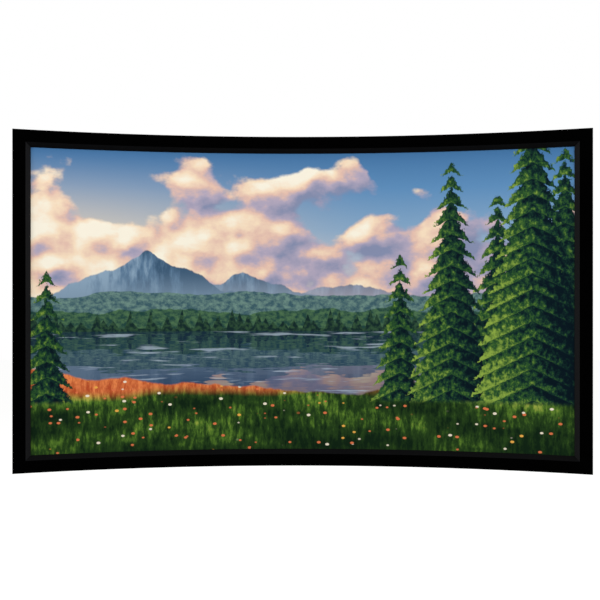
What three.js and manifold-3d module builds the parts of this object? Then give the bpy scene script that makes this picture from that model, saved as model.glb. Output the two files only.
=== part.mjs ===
// A curved fixed frame projection screen, seen from the front along +Y, with +Z up.
// Every piece of the frame is first drawn flat: x runs along the arc from the middle, y is the depth
// (0 at the back of the rails, less towards the viewer) and z is the height above the picture's centre.
// One function then rolls the flat drawing to the curve. Its axis is a vertical line before the screen.
// The origin is in the wall plane, at the middle of the top middle wall bracket. All sizes are millimetres.
import * as THREE from "three";
import { mergeVertices } from "three/addons/utils/BufferGeometryUtils.js";
import Module from "manifold-3d";

const wasm = await Module();
wasm.setup();

// The picture and its curve
const viewWidth = 2435; // along the arc
const viewHeight = 1370;
const viewRadius = 5100;
const arcFacets = 20; // flat strips across the picture

// The frame's section, as it is seen with its velvet on
const faceWidth = 73;
const frameDepth = 38;
const bevelWidth = 19;
const edgeLevel = 16; // height of the visible edge above the rails' back
const edgeHeight = 2.6; // thickness of the visible edge
const velvetThickness = 0.7;

// The aluminium rail below the velvet
const railWall = 2;
const boxWidth = 29; // of the hollow along the outer side, walls included
const channelDepth = 10; // clear depth of the slotted channel at the back
const slotWidth = 10;
const lipReach = 7; // of the spring lip from the hollow
const lipBead = 2; // height of the bead that keeps the spring hooks on the lip
const mitreShort = 0.22; // taken off each mitred end, along the rail
const seatGap = 0.3; // clearance between pieces that touch

// The screen fabric with its sleeves, the tension rods and the springs
const fabricThickness = 0.6;
const rodInset = 12; // of the rods from the visible edge, under the bevel
const rodDiameter = 5;
const sleeveEndInset = 10; // of the sleeves' ends from the picture's corners
const cornerOverlap = 5; // of the fabric past the visible edge at the corners
const notchWidth = 12; // of the cut in a sleeve where a spring holds the rod
const springsAcross = 8;
const springsUpright = 5;
const coilDiameter = 7;
const coilEndSpace = 3; // from the coil to the rod's hook and to the lip's bead
const wireDiameter = 1.2;
const rodHookTurn = 225; // degrees of the rod that a spring's hook goes round

// Joiners and braces
const cornerLeg = 110;
const cornerThickness = 5;
const screwDiameter = 5;
const screwRise = 1.5;
const screwFirst = 32; // of a leg's first screw from the mitre, along the slot
const screwPitch = 28;
const joinerLength = 220;
const joinerWall = 3;
const barAt = 548; // of each support bar from the middle, along the arc
const barWidth = 25;
const barDepth = 12;
const barWall = 1.5;
const barEndInset = 4; // of the bars' ends from the frame's outer edge
const boltDiameter = 6;
const boltHeadSide = 16;
const boltHeadThickness = 4;
const boltHoleSpace = 0.3; // around the bolt
const knobDiameter = 20;
const knobThickness = 8;

// Wall brackets
const wallGap = 16; // from the wall to the rails' back at the middle
const sideBracketAt = 426; // from the middle, along the arc
const plateWidth = 60;
const plateHeight = 50;
const plateThickness = 2;
const plateHole = 5.5;
const plateHolePitch = 40;
const hookWidth = 30;
const hookRise = 5;

// Sides of the polygons that stand for round pieces
const rodSides = 6;
const wireSides = 4;
const coilSides = 6;
const holeSides = 12;
const screwSides = 8;
const hookSteps = 5;

// How far a cutting tool runs past what it cuts, and how near two corners count as one
const pastCut = 1;
const touching = 0.01;
const sameCorner = 1e-4;

// Levels above the rails' back and distances out from the visible edge, which the sizes above settle
const facetWidth = viewWidth / arcFacets;
const skinDepth = velvetThickness + seatGap;
const pictureLevel = edgeLevel - edgeHeight - seatGap;
const sleeveBore = rodDiameter / 2 + seatGap;
const sleeveRadius = sleeveBore + fabricThickness;
const rodLevel = pictureLevel - sleeveRadius;
const hookRadius = rodDiameter / 2 + seatGap + wireDiameter / 2;
const channelInner = faceWidth - skinDepth - boxWidth + railWall;
const channelOuter = faceWidth - skinDepth - railWall;
const slotMiddle = (channelInner + channelOuter) / 2;
const webOutside = channelInner - railWall;
const beadTop = rodLevel - wireDiameter / 2 - seatGap;
const lipTop = beadTop - lipBead;
const hollowBack = channelDepth + 2 * railWall;
const hollowFront = frameDepth - skinDepth - railWall;
const bracketTop = plateHeight / 2;
const pictureCentre = bracketTop + seatGap - viewHeight / 2 - slotMiddle - slotWidth / 2;

const sides = {
  top: { turn: 0, reach: viewHeight / 2, span: viewWidth / 2 },
  right: { turn: Math.PI / 2, reach: viewWidth / 2, span: viewHeight / 2 },
  bottom: { turn: Math.PI, reach: viewHeight / 2, span: viewWidth / 2 },
  left: { turn: -Math.PI / 2, reach: viewWidth / 2, span: viewHeight / 2 },
};

// Materials

function finish(color, roughness, metalness) {
  return new THREE.MeshStandardMaterial({ color, roughness, metalness });
}

const velvetBlack = () => finish("#050506", 1, 0);
const millAluminium = () => finish("#a9abad", 0.42, 1);
const zincSteel = () => finish("#b4b6b5", 0.38, 1);
const springSteel = () => finish("#8f9194", 0.3, 1);
const blackPlastic = () => finish("#17181a", 0.55, 0);
const rodFibre = () => finish("#d9d6c8", 0.6, 0);
const fabricBack = () => finish("#1d1e20", 0.85, 0);
const paintedBlackSteel = () => finish("#1b1c1e", 0.5, 0.3);

// Solids

function solidOf(geometry) {
  const bare = geometry.index ? geometry.toNonIndexed() : geometry.clone();
  for (const name of Object.keys(bare.attributes)) {
    if (name !== "position") bare.deleteAttribute(name);
  }
  const merged = mergeVertices(bare, sameCorner);
  return new wasm.Manifold(
    new wasm.Mesh({
      numProp: 3,
      vertProperties: merged.attributes.position.array,
      triVerts: new Uint32Array(merged.index.array),
    }),
  );
}

function geometryOf(solid) {
  const mesh = solid.getMesh();
  const geometry = new THREE.BufferGeometry();
  geometry.setAttribute("position", new THREE.BufferAttribute(mesh.vertProperties, 3));
  geometry.setIndex(new THREE.BufferAttribute(mesh.triVerts, 1));
  return geometry;
}

function join(geometries) {
  return geometryOf(geometries.map(solidOf).reduce((whole, piece) => whole.add(piece)));
}

function cut(geometry, tools) {
  return geometryOf(tools.map(solidOf).reduce((left, tool) => left.subtract(tool), solidOf(geometry)));
}

// A box between two corners
function block(low, high) {
  const size = high.map((value, axis) => value - low[axis]);
  const middle = high.map((value, axis) => (value + low[axis]) / 2);
  return new THREE.BoxGeometry(...size).translate(...middle);
}

// A round bar along the depth, from one y to another
function roundAlongDepth(diameter, x, backY, frontY, z, facets) {
  const bar = new THREE.CylinderGeometry(diameter / 2, diameter / 2, backY - frontY, facets);
  return bar.translate(x, (backY + frontY) / 2, z);
}

// A flat plate drawn in x and z, between two levels above the rails' back
function plate(outline, backLevel, frontLevel) {
  const shape = new THREE.Shape(outline.map(([x, z]) => new THREE.Vector2(x, z)));
  const geometry = new THREE.ExtrudeGeometry(shape, {
    depth: frontLevel - backLevel,
    bevelEnabled: false,
  });
  return geometry.translate(0, 0, backLevel).rotateX(Math.PI / 2);
}

// The places along a side where it passes from one flat strip of the arc to the next
function facetLines(side, start, end) {
  if (side.turn % Math.PI !== 0) return [];
  const first = Math.ceil((start + facetWidth / 2) / facetWidth);
  const last = Math.floor((end - facetWidth / 2) / facetWidth);
  return Array.from({ length: last - first + 1 }, (_, i) => (first + i) * facetWidth);
}

// A section drawn outwards from the visible edge and up from the rails' back, run along one side.
// Where it starts and ends may depend on the distance out, which gives the mitres.
function runAlong(side, shape, startAt, endAt) {
  const lines = facetLines(side, startAt(0), endAt(0));
  const steps = lines.length + 1;
  const geometry = new THREE.ExtrudeGeometry(shape, { depth: steps, steps, bevelEnabled: false });
  const points = geometry.attributes.position;
  for (let i = 0; i < points.count; i++) {
    const out = points.getX(i);
    const level = points.getY(i);
    const places = [startAt(out), ...lines, endAt(out)];
    points.setXYZ(i, places[Math.round(points.getZ(i))], -level, side.reach + out);
  }
  return geometry.rotateY(side.turn);
}

// A solid drawn for the middle of one side, moved along it
function placeOn(side, geometry, along) {
  return geometry.clone().translate(along, 0, side.reach).rotateY(side.turn);
}

// Rolling the flat drawing

const backRadius = viewRadius + pictureLevel;

function rolled(point) {
  const facet = Math.floor(point.x / facetWidth);
  const share = point.x / facetWidth - facet;
  const from = (facet * facetWidth) / viewRadius;
  const to = ((facet + 1) * facetWidth) / viewRadius;
  const radius = backRadius + point.y;
  const acrossShare = THREE.MathUtils.lerp(Math.sin(from), Math.sin(to), share);
  const depthShare = THREE.MathUtils.lerp(Math.cos(from), Math.cos(to), share);
  return new THREE.Vector3(
    radius * acrossShare,
    radius * depthShare - backRadius - wallGap,
    point.z + pictureCentre,
  );
}

function trianglesOf(geometry) {
  const bare = geometry.index ? geometry.toNonIndexed() : geometry;
  const points = bare.attributes.position;
  const triangles = [];
  for (let i = 0; i < points.count; i += 3) {
    triangles.push([0, 1, 2].map((k) => new THREE.Vector3().fromBufferAttribute(points, i + k)));
  }
  return triangles;
}

// The point of an edge where a measure is zero, the same from either end
function crossing(a, b, measure) {
  const swap = a.x - b.x || a.y - b.y || a.z - b.z;
  const [first, second] = swap < 0 ? [a, b] : [b, a];
  const before = measure(first);
  return first.clone().lerp(second, before / (before - measure(second)));
}

function sideOf(value) {
  return Math.abs(value) < touching ? 0 : Math.sign(value);
}

// Divides the polygons that cross the surface where a measure is zero
function divide(polygons, measure) {
  return polygons.flatMap((polygon) => {
    const marks = polygon.map((corner) => sideOf(measure(corner)));
    if (!marks.includes(1) || !marks.includes(-1)) return [polygon];
    const above = [];
    const below = [];
    polygon.forEach((corner, i) => {
      const next = (i + 1) % polygon.length;
      if (marks[i] >= 0) above.push(corner);
      if (marks[i] <= 0) below.push(corner);
      if (marks[i] * marks[next] < 0) {
        const middle = crossing(corner, polygon[next], measure);
        above.push(middle);
        below.push(middle);
      }
    });
    return [above, below];
  });
}

// A convex polygon's triangles
function fan(polygon) {
  return polygon.slice(2).map((corner, i) => [polygon[0], polygon[i + 1], corner]);
}

function dividedAtFacets(geometry) {
  let polygons = trianglesOf(geometry);
  const across = polygons.flat().map((corner) => corner.x);
  const first = Math.ceil(across.reduce((a, b) => Math.min(a, b)) / facetWidth);
  const last = Math.floor(across.reduce((a, b) => Math.max(a, b)) / facetWidth);
  for (let facet = first; facet <= last; facet++) {
    polygons = divide(polygons, (corner) => corner.x - facet * facetWidth);
  }
  return polygons;
}

function geometryFrom(polygons) {
  const geometry = new THREE.BufferGeometry().setFromPoints(polygons.flatMap(fan).flat());
  geometry.computeVertexNormals();
  return geometry;
}

function rolledGeometry(polygons) {
  return geometryFrom(polygons.map((polygon) => polygon.map(rolled)));
}

const screen = new THREE.Group();

function addMesh(name, geometry, material) {
  const mesh = new THREE.Mesh(geometry, material);
  mesh.name = name;
  screen.add(mesh);
}

// Adds a piece that was drawn flat
function addRolled(name, flatGeometry, material) {
  addMesh(name, rolledGeometry(dividedAtFacets(flatGeometry)), material);
}

// Rails and their velvet

// A line's points moved sideways by a distance, to the right of the way they run
function movedIn(points, distance) {
  const ways = points.slice(1).map((point, i) => point.clone().sub(points[i]).normalize());
  return points.map((point, i) => {
    const before = ways[Math.max(i - 1, 0)];
    const after = ways[Math.min(i, ways.length - 1)];
    const inward = new THREE.Vector2(-before.y - after.y, before.x + after.x).normalize();
    const share = inward.x * -after.y + inward.y * after.x;
    return point.clone().addScaledVector(inward, distance / share);
  });
}

const point = (out, level) => new THREE.Vector2(out, level);

// What the viewer sees of the section: outer side, face, bevel and edge
const seenLine = [
  point(faceWidth, 0),
  point(faceWidth, frameDepth),
  point(bevelWidth, frameDepth),
  point(0, edgeLevel),
  point(0, edgeLevel - edgeHeight),
];

function velvetSection() {
  return new THREE.Shape([...seenLine, ...movedIn(seenLine, velvetThickness).reverse()]);
}

function railSection() {
  const outside = movedIn(seenLine, skinDepth);
  const [, , faceEnd, bevelEnd, edgeEnd] = movedIn(seenLine, skinDepth + railWall);
  const slotInner = slotMiddle - slotWidth / 2;
  const slotOuter = slotMiddle + slotWidth / 2;
  const beadInside = webOutside - lipReach;
  const shape = new THREE.Shape([
    ...outside,
    edgeEnd,
    bevelEnd,
    faceEnd,
    point(webOutside, hollowFront),
    point(webOutside, lipTop),
    point(beadInside + railWall, lipTop),
    point(beadInside + railWall, beadTop),
    point(beadInside, beadTop),
    point(beadInside, lipTop - railWall),
    point(webOutside, lipTop - railWall),
    point(webOutside, 0),
    point(slotInner, 0),
    point(slotInner, railWall),
    point(channelInner, railWall),
    point(channelInner, railWall + channelDepth),
    point(channelOuter, railWall + channelDepth),
    point(channelOuter, railWall),
    point(slotOuter, railWall),
    point(slotOuter, 0),
  ]);
  const hollow = [
    point(channelInner, hollowBack),
    point(channelInner, hollowFront),
    point(channelOuter, hollowFront),
    point(channelOuter, hollowBack),
  ];
  shape.holes.push(new THREE.Path(hollow));
  return shape;
}

function addRail(place, half, section, kind, material) {
  const side = sides[place];
  const mitre = (out) => side.span + out - mitreShort;
  const butt = () => seatGap / 2;
  const runs = {
    whole: [(out) => -mitre(out), mitre],
    positive: [butt, mitre],
    negative: [(out) => -mitre(out), () => -butt()],
  };
  const name = half.name ? place + "_" + kind + "_" + half.name : place + "_" + kind;
  addRolled(name, runAlong(side, section, ...runs[half.run]), material);
}

function addRails() {
  const whole = { run: "whole" };
  const rails = [
    ["top", { run: "negative", name: "left" }],
    ["top", { run: "positive", name: "right" }],
    ["right", whole],
    ["bottom", { run: "negative", name: "right" }],
    ["bottom", { run: "positive", name: "left" }],
    ["left", whole],
  ];
  for (const [place, half] of rails) {
    addRail(place, half, railSection(), "rail", millAluminium());
    addRail(place, half, velvetSection(), "velvet", velvetBlack());
  }
}

// Springs

// A round wire along a path drawn in the distance out and the level
function wireAlong(path) {
  const ring = new THREE.Shape(
    Array.from({ length: wireSides }, (_, i) => {
      const angle = (2 * Math.PI * i) / wireSides;
      const radius = wireDiameter / 2;
      return new THREE.Vector2(radius * Math.cos(angle), radius * Math.sin(angle));
    }),
  );
  const corners = path.map(([out, level]) => new THREE.Vector3(0, -level, out));
  return new THREE.ExtrudeGeometry(ring, {
    extrudePath: new PathThroughCorners(corners),
    steps: corners.length - 1,
    bevelEnabled: false,
  });
}

// A curve whose even parameter steps are its corners, so that an extrusion bends only there
class PathThroughCorners extends THREE.Curve {
  constructor(corners) {
    super();
    this.corners = corners;
  }

  getPoint(t, target = new THREE.Vector3()) {
    const place = t * (this.corners.length - 1);
    const before = Math.min(Math.floor(place + sameCorner), this.corners.length - 2);
    return target.copy(this.corners[before]).lerp(this.corners[before + 1], place - before);
  }

  getPointAt(u, target) {
    return this.getPoint(u, target);
  }

  getTangent(t, target = new THREE.Vector3()) {
    const step = 0.5 / (this.corners.length - 1);
    const ahead = this.getPoint(Math.min(t + step, 1));
    return target.copy(ahead).sub(this.getPoint(Math.max(t - step, 0))).normalize();
  }

  getTangentAt(u, target) {
    return this.getTangent(u, target);
  }
}

// A tension spring: a closed coil with a hook round the rod and one over the lip's bead
function springGeometry() {
  const coilStart = rodInset + hookRadius + coilEndSpace;
  const coilEnd = webOutside - lipReach - coilEndSpace;
  const coil = new THREE.CylinderGeometry(
    coilDiameter / 2,
    coilDiameter / 2,
    coilEnd - coilStart,
    coilSides,
  );
  coil.rotateX(Math.PI / 2).translate(0, -rodLevel, (coilStart + coilEnd) / 2);
  const rodHook = [[coilStart + coilEndSpace, rodLevel]];
  for (let i = 0; i <= hookSteps; i++) {
    const angle = THREE.MathUtils.degToRad((rodHookTurn * i) / hookSteps);
    const level = rodLevel + hookRadius * Math.sin(angle);
    rodHook.push([rodInset + hookRadius * Math.cos(angle), level]);
  }
  const beyondBead = webOutside - lipReach + railWall + seatGap + wireDiameter / 2;
  const lipHook = [
    [coilEnd - coilEndSpace, rodLevel],
    [beyondBead, rodLevel],
    [beyondBead + wireDiameter, rodLevel - wireDiameter / 2],
    [beyondBead + wireDiameter, lipTop + seatGap + wireDiameter / 2],
  ];
  return join([coil, wireAlong(rodHook), wireAlong(lipHook)]);
}

function springPlaces(place) {
  const upright = place === "left" || place === "right";
  const count = upright ? springsUpright : springsAcross;
  const pitch = (2 * sides[place].span) / count;
  return Array.from({ length: count }, (_, i) => (i - (count - 1) / 2) * pitch);
}

function addSprings() {
  const spring = springGeometry();
  for (const place of Object.keys(sides)) {
    springPlaces(place).forEach((along, i) => {
      const name = place + "_spring_" + (i + 1);
      addRolled(name, placeOn(sides[place], spring, along), springSteel());
    });
  }
}

// Rods and fabric

// A polygon round a rod, with flats at its front and back
function ringAroundRod(radius) {
  return Array.from({ length: rodSides }, (_, i) => {
    const angle = Math.PI / 2 + (Math.PI * (2 * i + 1)) / rodSides;
    return point(rodInset + radius * Math.cos(angle), rodLevel + radius * Math.sin(angle));
  });
}

function addRods() {
  for (const [place, side] of Object.entries(sides)) {
    const section = new THREE.Shape(ringAroundRod(rodDiameter / 2));
    const rod = runAlong(side, section, () => -side.span, () => side.span);
    addRolled(place + "_tension_rod", rod, rodFibre());
  }
}

function sleeve(side) {
  const flatToFlat = Math.cos(Math.PI / rodSides);
  const section = new THREE.Shape(ringAroundRod(sleeveRadius / flatToFlat));
  section.holes.push(new THREE.Path(ringAroundRod(sleeveBore / flatToFlat)));
  const end = side.span - sleeveEndInset;
  return runAlong(side, section, () => -end, () => end);
}

// The sheet's outline, with a square taken out of each corner between the sleeves
function sheetOutline() {
  const halfWidth = viewWidth / 2;
  const halfHeight = viewHeight / 2;
  const quarter = [
    [halfWidth + rodInset, halfHeight - sleeveEndInset],
    [halfWidth + cornerOverlap, halfHeight - sleeveEndInset],
    [halfWidth + cornerOverlap, halfHeight + cornerOverlap],
    [halfWidth - sleeveEndInset, halfHeight + cornerOverlap],
    [halfWidth - sleeveEndInset, halfHeight + rodInset],
  ];
  const mirrored = [...quarter].reverse().map(([x, z]) => [-x, z]);
  const upper = [...quarter, ...mirrored];
  return [...upper, ...upper.map(([x, z]) => [-x, -z])];
}

function springNotches() {
  const low = [-notchWidth / 2, -pictureLevel - seatGap, rodInset - sleeveRadius - wireDiameter];
  const high = [notchWidth / 2, 0, rodInset + 2 * sleeveRadius];
  const notch = block(low, high);
  return Object.keys(sides).flatMap((place) =>
    springPlaces(place).map((along) => placeOn(sides[place], notch, along)),
  );
}

// The printed test picture, as fields of colour from the top down. A field's lower edge is a wave.
const skyBlue = { color: "#5a83ae", level: 330, swing: 34, waves: 1.4, shift: 0.6 };
const cloudCream = { color: "#e8c8a8", level: 225, swing: 40, waves: 1.1, shift: 2.2 };
const hazeMauve = { color: "#b8a2b4", level: 70, swing: 60, waves: 1.7, shift: 4.1 };
const hillSlate = { color: "#47637c", level: -150, swing: 10, waves: 1.2, shift: 0 };
const lakeBlue = { color: "#22406a", level: -400, swing: 45, waves: 0.9, shift: 5.2 };
const meadowOrange = { color: "#d9763f" };
const pictureFields = [
  skyBlue,
  cloudCream,
  hazeMauve,
  hillSlate,
  lakeBlue,
  meadowOrange,
];

// The wave is drawn with straight stretches between the facet lines
function fieldEdge(field, x) {
  const height = (facet) => {
    const angle = (2 * Math.PI * field.waves * facet * facetWidth) / viewWidth + field.shift;
    return field.level + field.swing * Math.cos(angle);
  };
  const facet = Math.floor(x / facetWidth + touching / facetWidth);
  return THREE.MathUtils.lerp(height(facet), height(facet + 1), x / facetWidth - facet);
}

// The number of the field that a polygon of the front lies in, or one more for the fabric's back
function fieldOf(polygon) {
  const middle = polygon.reduce((sum, corner) => sum.add(corner), new THREE.Vector3());
  middle.divideScalar(polygon.length);
  if (middle.y > touching - pictureLevel) return pictureFields.length;
  const last = pictureFields.length - 1;
  return pictureFields.findIndex((each, i) => i === last || middle.z > fieldEdge(each, middle.x));
}

function addFabric() {
  const backLevel = pictureLevel - fabricThickness;
  const sheet = plate(sheetOutline(), backLevel, pictureLevel);
  const strips = geometryFrom(dividedAtFacets(sheet));
  const whole = join([strips, ...Object.values(sides).map(sleeve)]);
  let polygons = dividedAtFacets(cut(whole, springNotches()));
  for (const field of pictureFields.slice(0, -1)) {
    polygons = divide(polygons, (corner) => corner.z - fieldEdge(field, corner.x));
  }
  const triangles = polygons.flatMap(fan).map((corners) => ({ corners, field: fieldOf(corners) }));
  triangles.sort((a, b) => a.field - b.field);
  const geometry = rolledGeometry(triangles.map((each) => each.corners));
  triangles.forEach((each, i) => {
    const group = geometry.groups.at(-1);
    if (group && group.materialIndex === each.field) group.count += 3;
    else geometry.addGroup(3 * i, 3, each.field);
  });
  const colours = pictureFields.map((field) => finish(field.color, 0.8, 0));
  addMesh("screen_fabric", geometry, [...colours, fabricBack()]);
}

// Joiners and braces

// An L plate in the slotted channel, with the heads of its set screws in the slot
function addCornerBracket(name, acrossSign, upSign) {
  const backLevel = railWall + seatGap;
  const inner = channelInner + seatGap;
  const outer = channelOuter - seatGap;
  const halfWidth = viewWidth / 2;
  const halfHeight = viewHeight / 2;
  const outline = [
    [halfWidth + outer - cornerLeg, halfHeight + outer],
    [halfWidth + outer - cornerLeg, halfHeight + inner],
    [halfWidth + inner, halfHeight + inner],
    [halfWidth + inner, halfHeight + outer - cornerLeg],
    [halfWidth + outer, halfHeight + outer - cornerLeg],
    [halfWidth + outer, halfHeight + outer],
  ];
  const pieces = [
    plate(
      outline.map(([x, z]) => [acrossSign * x, upSign * z]),
      backLevel,
      backLevel + cornerThickness,
    ),
  ];
  for (const back of [screwFirst, screwFirst + screwPitch]) {
    const places = [
      [halfWidth + slotMiddle - back, halfHeight + slotMiddle],
      [halfWidth + slotMiddle, halfHeight + slotMiddle - back],
    ];
    for (const [x, z] of places) {
      const screw = [acrossSign * x, screwRise - backLevel, -backLevel - screwRise, upSign * z];
      pieces.push(roundAlongDepth(screwDiameter, ...screw, screwSides));
    }
  }
  addRolled(name, join(pieces), zincSteel());
}

// The tube inside the hollow, which holds the two halves of a long rail in line
function addJoiner(place) {
  const side = sides[place];
  const inner = channelInner + seatGap;
  const outer = channelOuter - seatGap;
  const back = hollowBack + seatGap;
  const front = hollowFront - seatGap;
  const corners = (inset) => [
    point(inner + inset, back + inset),
    point(outer - inset, back + inset),
    point(outer - inset, front - inset),
    point(inner + inset, front - inset),
  ];
  const section = new THREE.Shape(corners(0));
  section.holes.push(new THREE.Path(corners(joinerWall)));
  const end = joinerLength / 2;
  addRolled(place + "_joiner", runAlong(side, section, () => -end, () => end), millAluminium());
}

const boltHeights = [viewHeight / 2 + slotMiddle, -viewHeight / 2 - slotMiddle];

// An upright rectangular tube behind the rails, which keeps the springs from drawing them together
function addSupportBar(name, along) {
  const end = viewHeight / 2 + faceWidth - barEndInset;
  const front = seatGap;
  const halfWidth = barWidth / 2;
  const outside = block([along - halfWidth, front, -end], [along + halfWidth, front + barDepth, end]);
  const inside = block(
    [along - halfWidth + barWall, front + barWall, -end - pastCut],
    [along + halfWidth - barWall, front + barDepth - barWall, end + pastCut],
  );
  const holeDiameter = boltDiameter + 2 * boltHoleSpace;
  const holes = boltHeights.map((z) =>
    roundAlongDepth(holeDiameter, along, front + barDepth + pastCut, 0, z, holeSides),
  );
  addRolled(name, cut(outside, [inside, ...holes]), millAluminium());
}

// A bolt with a square head in the channel and a knob behind the bar
function addSupportBolt(name, along, z) {
  const headBack = -railWall - seatGap;
  const headFront = headBack - boltHeadThickness;
  const knobFront = 2 * seatGap + barDepth;
  const half = boltHeadSide / 2;
  const head = block([along - half, headFront, z - half], [along + half, headBack, z + half]);
  const middle = (headFront + headBack) / 2;
  const shank = roundAlongDepth(boltDiameter, along, knobFront + pastCut, middle, z, screwSides);
  const knobBack = knobFront + knobThickness;
  const knob = roundAlongDepth(knobDiameter, along, knobBack, knobFront, z, holeSides);
  addRolled(name, join([head, shank, knob]), blackPlastic());
}

function addBraces() {
  addCornerBracket("corner_bracket_top_left", -1, 1);
  addCornerBracket("corner_bracket_top_right", 1, 1);
  addCornerBracket("corner_bracket_bottom_left", -1, -1);
  addCornerBracket("corner_bracket_bottom_right", 1, -1);
  addJoiner("top");
  addJoiner("bottom");
  for (const [name, along] of [["left", -barAt], ["right", barAt]]) {
    addSupportBar("support_bar_" + name, along);
    addSupportBolt("support_bolt_top_" + name, along, boltHeights[0]);
    addSupportBolt("support_bolt_bottom_" + name, along, boltHeights[1]);
  }
}

// Wall brackets

// A steel plate on the wall, with an arm through the rail's slot and a hook that rises behind its
// upper edge. The frame hangs on the arm. The plate runs down from the arm, or up from it.
function addWallBracket(name, along, slotEdge, runsUp) {
  const armTop = slotEdge - seatGap;
  const armBottom = armTop - plateThickness;
  const halfHook = hookWidth / 2;
  const hookBack = -railWall - seatGap;
  const hookFront = hookBack - plateThickness;
  const wallDistance = -rolled(new THREE.Vector3(along, 0, 0)).y;
  const arm = block(
    [along - halfHook, hookFront, armBottom],
    [along + halfHook, 2 * wallDistance, armTop],
  );
  const hook = block(
    [along - halfHook, hookFront, armBottom],
    [along + halfHook, hookBack, armTop + hookRise],
  );
  const bent = rolledGeometry(dividedAtFacets(join([arm, hook])));
  const x = rolled(new THREE.Vector3(along, 0, 0)).x;
  const top = pictureCentre + (runsUp ? armBottom + plateHeight : armTop);
  const bottom = top - plateHeight;
  const halfPlate = plateWidth / 2;
  const reach = wallDistance + 2 * frameDepth;
  const beforeWall = block(
    [x - plateWidth, -reach, bottom - plateHeight],
    [x + plateWidth, -plateThickness / 2, top + plateHeight],
  );
  const kept = geometryOf(solidOf(bent).intersect(solidOf(beforeWall)));
  const wallPlate = block([x - halfPlate, -plateThickness, bottom], [x + halfPlate, 0, top]);
  const holes = [-1, 1].map((sign) => {
    const across = x + (sign * plateHolePitch) / 2;
    const ends = [pastCut, -plateThickness - pastCut];
    return roundAlongDepth(plateHole, across, ...ends, (top + bottom) / 2, holeSides);
  });
  const body = join([kept, cut(wallPlate, holes)]);
  const geometry = body.toNonIndexed();
  geometry.computeVertexNormals();
  addMesh(name, geometry, paintedBlackSteel());
}

function addWallBrackets() {
  const upperSlotEdge = viewHeight / 2 + slotMiddle + slotWidth / 2;
  const lowerSlotEdge = -viewHeight / 2 - slotMiddle + slotWidth / 2;
  addWallBracket("wall_bracket_top_middle", 0, upperSlotEdge, false);
  addWallBracket("wall_bracket_top_left", -sideBracketAt, upperSlotEdge, false);
  addWallBracket("wall_bracket_top_right", sideBracketAt, upperSlotEdge, false);
  addWallBracket("wall_bracket_bottom_left", -sideBracketAt, lowerSlotEdge, true);
  addWallBracket("wall_bracket_bottom_right", sideBracketAt, lowerSlotEdge, true);
}

addRails();
addFabric();
addRods();
addSprings();
addBraces();
addWallBrackets();

export default screen;
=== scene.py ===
import math

import bmesh
import bpy
from mathutils import Matrix, Vector


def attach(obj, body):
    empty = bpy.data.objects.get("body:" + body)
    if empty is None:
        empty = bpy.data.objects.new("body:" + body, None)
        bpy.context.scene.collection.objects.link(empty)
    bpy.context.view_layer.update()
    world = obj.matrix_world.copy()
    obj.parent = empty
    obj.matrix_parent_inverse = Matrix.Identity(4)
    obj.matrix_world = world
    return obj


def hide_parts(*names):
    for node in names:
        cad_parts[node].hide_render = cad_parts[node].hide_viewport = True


# Curved fixed frame projector screen. Lengths are metres, the viewer stands at -Y and Z points up.
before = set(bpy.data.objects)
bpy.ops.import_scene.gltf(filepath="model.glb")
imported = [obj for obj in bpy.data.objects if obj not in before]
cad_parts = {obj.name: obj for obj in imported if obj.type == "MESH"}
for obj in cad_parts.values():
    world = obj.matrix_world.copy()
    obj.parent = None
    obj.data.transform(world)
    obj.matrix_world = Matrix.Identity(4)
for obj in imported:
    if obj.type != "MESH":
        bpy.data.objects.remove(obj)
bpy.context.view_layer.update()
print("frame loaded:", len(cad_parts), "nodes")

# The picture's arc and the frame's section, as in the CAD model. "out" runs from the visible edge
# outwards, "level" from the back of the rails towards the viewer.
screen = {
    "halfWidth": 1.2175,  # along the arc
    "halfHeight": 0.685,
    "radius": 5.1,
    "backRadius": 5.1131,
    "wallGap": 0.016,
    "centre": -0.7222,
    "faceWidth": 0.073,
    "depth": 0.038,
    "bevelWidth": 0.019,
    "edgeLevel": 0.016,
    "edgeHeight": 0.0026,
    "mitreShort": 0.00022,
    "seatGap": 0.0003,
    "step": 0.03,  # between the rings of a swept piece
}

sides = {
    "top": {"turn": 0, "reach": screen["halfHeight"], "span": screen["halfWidth"]},
    "right": {"turn": math.pi / 2, "reach": screen["halfWidth"], "span": screen["halfHeight"]},
    "bottom": {"turn": math.pi, "reach": screen["halfHeight"], "span": screen["halfWidth"]},
    "left": {"turn": -math.pi / 2, "reach": screen["halfWidth"], "span": screen["halfHeight"]},
}


# Meshes

def newObject(name, bm, materials):
    mesh = bpy.data.meshes.new(name)
    bm.to_mesh(mesh)
    bm.free()
    piece = bpy.data.objects.new(name, mesh)
    bpy.context.scene.collection.objects.link(piece)
    for material in materials:
        mesh.materials.append(material)
    return piece


def makePiece(name, bm, materials, sharpFrom, slotName, *nodes):
    # a piece that is smooth up to so many degrees; all of them ride on the screen's one body
    piece = newObject(name, bm, materials)
    for polygon in piece.data.polygons:
        polygon.use_smooth = True
    piece.data.set_sharp_from_angle(angle=math.radians(sharpFrom))
    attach(piece, "root")
    if nodes:
        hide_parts(*nodes)
    return piece


def bevelEdges(bm, edges, offset, segments=3, clamp=False):
    bmesh.ops.bevel(bm, geom=edges, offset=offset, segments=segments, affect="EDGES", profile=0.5, material=-1,
                    clamp_overlap=clamp)


def edgesOf(verts):
    # kept in order, because a set's order changes from run to run
    return list(dict.fromkeys(e for v in verts for e in v.link_edges))


def pulledOut(bm, edges):
    # extrudes the edges, and gives the new ones and their verts
    made = bmesh.ops.extrude_edge_only(bm, edges=edges)["geom"]
    edges = [item for item in made if isinstance(item, bmesh.types.BMEdge)]
    return edges, list(dict.fromkeys(v for e in edges for v in e.verts))


def turnToSide(bm, side):
    bmesh.ops.rotate(bm, verts=bm.verts, cent=(0, 0, 0), matrix=Matrix.Rotation(side["turn"], 3, "Y"))


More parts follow.
